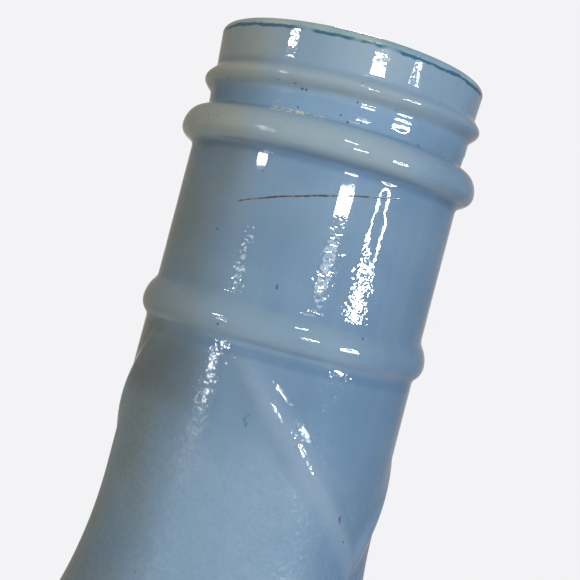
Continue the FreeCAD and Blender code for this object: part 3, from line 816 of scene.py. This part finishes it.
# The round lamp, as shares of its size: its dark middle, its dim foot and its half lit lower part.
HOLLOW_BORE = 0.84
FOOT_LOW, FOOT_HIGH, FOOT_LIGHT = 0.27, 0.34, 0.03
PART_TOP, PART_FULL, PART_LIGHT = 0.66, 0.5, 0.5


def lamp(name, azimuth, elevation, width, height, power, colour=WHITE, distance=STRIP_DISTANCE):
    """A rectangular lamp round the neck: azimuth from the front, to the right, in degrees."""
    data = bpy.data.lights.new(name, "AREA")
    data.shape = "RECTANGLE"
    data.size, data.size_y = width * MM, height * MM
    data.energy = power
    data.color = colour
    obj = bpy.data.objects.new(name, data)
    scene.collection.objects.link(obj)
    flat = distance * math.cos(math.radians(elevation))
    place = (
        flat * math.sin(math.radians(azimuth)),
        -flat * math.cos(math.radians(azimuth)),
        NECK_MIDDLE[2] + distance * math.sin(math.radians(elevation)),
    )
    aim(obj, place, NECK_MIDDLE)
    obj.visible_camera = False
    return obj


def hollow(obj):
    """Leave only the rim of a round lamp's upper part alight, and its foot dim."""
    obj.data.shape = "ELLIPSE"
    obj.data.use_nodes = True
    n = Nodes(obj.data.node_tree)
    place = n.add("ShaderNodeNewGeometry").outputs["Parametric"]
    away = n.vector("DISTANCE", place, (0.5, 0.5, 0.0))["Value"]
    rim = n.math("GREATER_THAN", away, HOLLOW_BORE / 2)
    height = n.split(place)["Y"]
    foot = n.slope(n.span(height, FOOT_LOW, FOOT_HIGH, "LINEAR"), 1 - FOOT_LIGHT, FOOT_LIGHT)
    part = n.times(n.span(height, PART_TOP, PART_FULL, "LINEAR"), PART_LIGHT)
    n.plug(n.tree.nodes["Emission"].inputs["Strength"], n.times(n.most(rim, part), foot))


def make_lamps():
    """Strips that show only as highlights, faint ones round them, and soft panels that highlights don't show."""
    strips = (
        lamp("ring_right", 53, 0.7, 175, 190, 8.0, COOL),
        lamp("strip_middle", 20.7, 5.8, 140, 17, 1.0, WARMER),
        lamp("strip_left", -53, 7.1, 95, 5, 0.2, WARM),
        lamp("strip_back", 180, 12, 40, 300, 1.2),
    )
    hollow(strips[0])
    for strip in strips:
        strip.visible_diffuse = False
    lamp("high_middle", 14, 31, 100, 40, 0.4)
    lamp("low_left", -49, -4.9, 100, 16, 0.22)
    lamp("trail_middle", 20, 2.0, 120, 45, 0.1)
    lamp("trail_left", -48, 0.8, 90, 28, 0.05)
    panels = (
        lamp("key", 21, 28, 500, 500, 5.15, distance=PANEL_DISTANCE),
        lamp("fill", 25, -22, 600, 600, 1.4, distance=PANEL_DISTANCE),
        lamp("back", 180, 30, 500, 500, 4.5, distance=PANEL_DISTANCE),
    )
    for panel in panels:
        panel.visible_glossy = False


BACKGROUND = srgb(243, 243, 245)
# The room that the glass reflects: warm on the left, cool on the right and brighter towards the back there.
ROOM_LEFT, SHINE_LEFT = (0.36, 0.31, 0.22, 1), (0.34, 0.31, 0.24, 1)
ROOM_RIGHT, SHINE_RIGHT_BACK = (0.2, 0.22, 0.25, 1), (0.5, 0.45, 0.42, 1)


def make_world():
    """White to the camera and, behind the bottle, to shiny surfaces; otherwise a soft room, warm on the left."""
    scene.world = bpy.data.worlds.new("world")
    scene.world.use_nodes = True
    n = Nodes(scene.world.node_tree)
    n.tree.nodes.clear()
    x, y, _ = n.split(n.add("ShaderNodeTexCoord").outputs["Generated"])
    path = n.add("ShaderNodeLightPath").outputs
    light = n.mix(n.span(x, -0.8, 0.5, "LINEAR"), ROOM_LEFT, ROOM_RIGHT)
    right = n.mix(n.span(y, 0.72, 0.95, "LINEAR"), ROOM_RIGHT, SHINE_RIGHT_BACK)
    shine = n.coats(
        SHINE_LEFT,
        (n.span(x, -0.5, 0.4, "LINEAR"), right),
        (n.span(y, 0.96, 0.99, "LINEAR"), BACKGROUND),
    )
    colour = n.coats(
        light,
        (path["Is Glossy Ray"], shine),
        (path["Is Transmission Ray"], BACKGROUND),
        (path["Is Camera Ray"], BACKGROUND),
    )
    around = n.fill(n.add("ShaderNodeBackground"), {"Color": colour})
    n.fill(n.add("ShaderNodeOutputWorld"), {"Surface": around.outputs[0]})


# The floor, in metres: where it lies, just under the foot, and from where to where it fades out.
FLOOR_PLACE, FLOOR_RADIUS, FLOOR_SIDES = (0.03, 0, -0.0003), 0.6, 128
FLOOR_FADE, FLOOR_END, FLOOR_GLOW = 0.2, 0.58, 0.35


def make_floor():
    """A pale round floor that keeps the shadows and fades out into the background."""
    bpy.ops.mesh.primitive_circle_add(
        vertices=FLOOR_SIDES, radius=FLOOR_RADIUS, fill_type="NGON", location=FLOOR_PLACE)
    floor = bpy.context.object
    floor.name = "floor"
    n = Material("floor")
    away = n.vector("LENGTH", n.place)["Value"]
    dust = n.span(n.noise(n.place, 60.0, 3.0), 0.3, 0.7)
    seen = n.add("ShaderNodeLightPath").outputs["Is Camera Ray"]
    floor.data.materials.append(n.shade({
        "Base Color": n.mix(dust, srgb(236, 236, 238), srgb(240, 240, 242)),
        "Roughness": 0.8,
        "Alpha": n.span(away, FLOOR_END, FLOOR_FADE),
        "Emission Color": BACKGROUND,
        "Emission Strength": n.times(seen, FLOOR_GLOW),
    }))


make_bottle()
make_cap()
make_disc("liner_disc", "liner_board", BOARD_LOW, BOARD_TOP, BOARD_DENT, pulp_board())
make_disc("liner_paper", "liner_facing", FACING_LOW, BOARD_LOW, FACING_DENT, waxed_facing())
make_camera()
make_lamps()
make_world()
make_floor()
scene.view_settings.view_transform = "Standard"
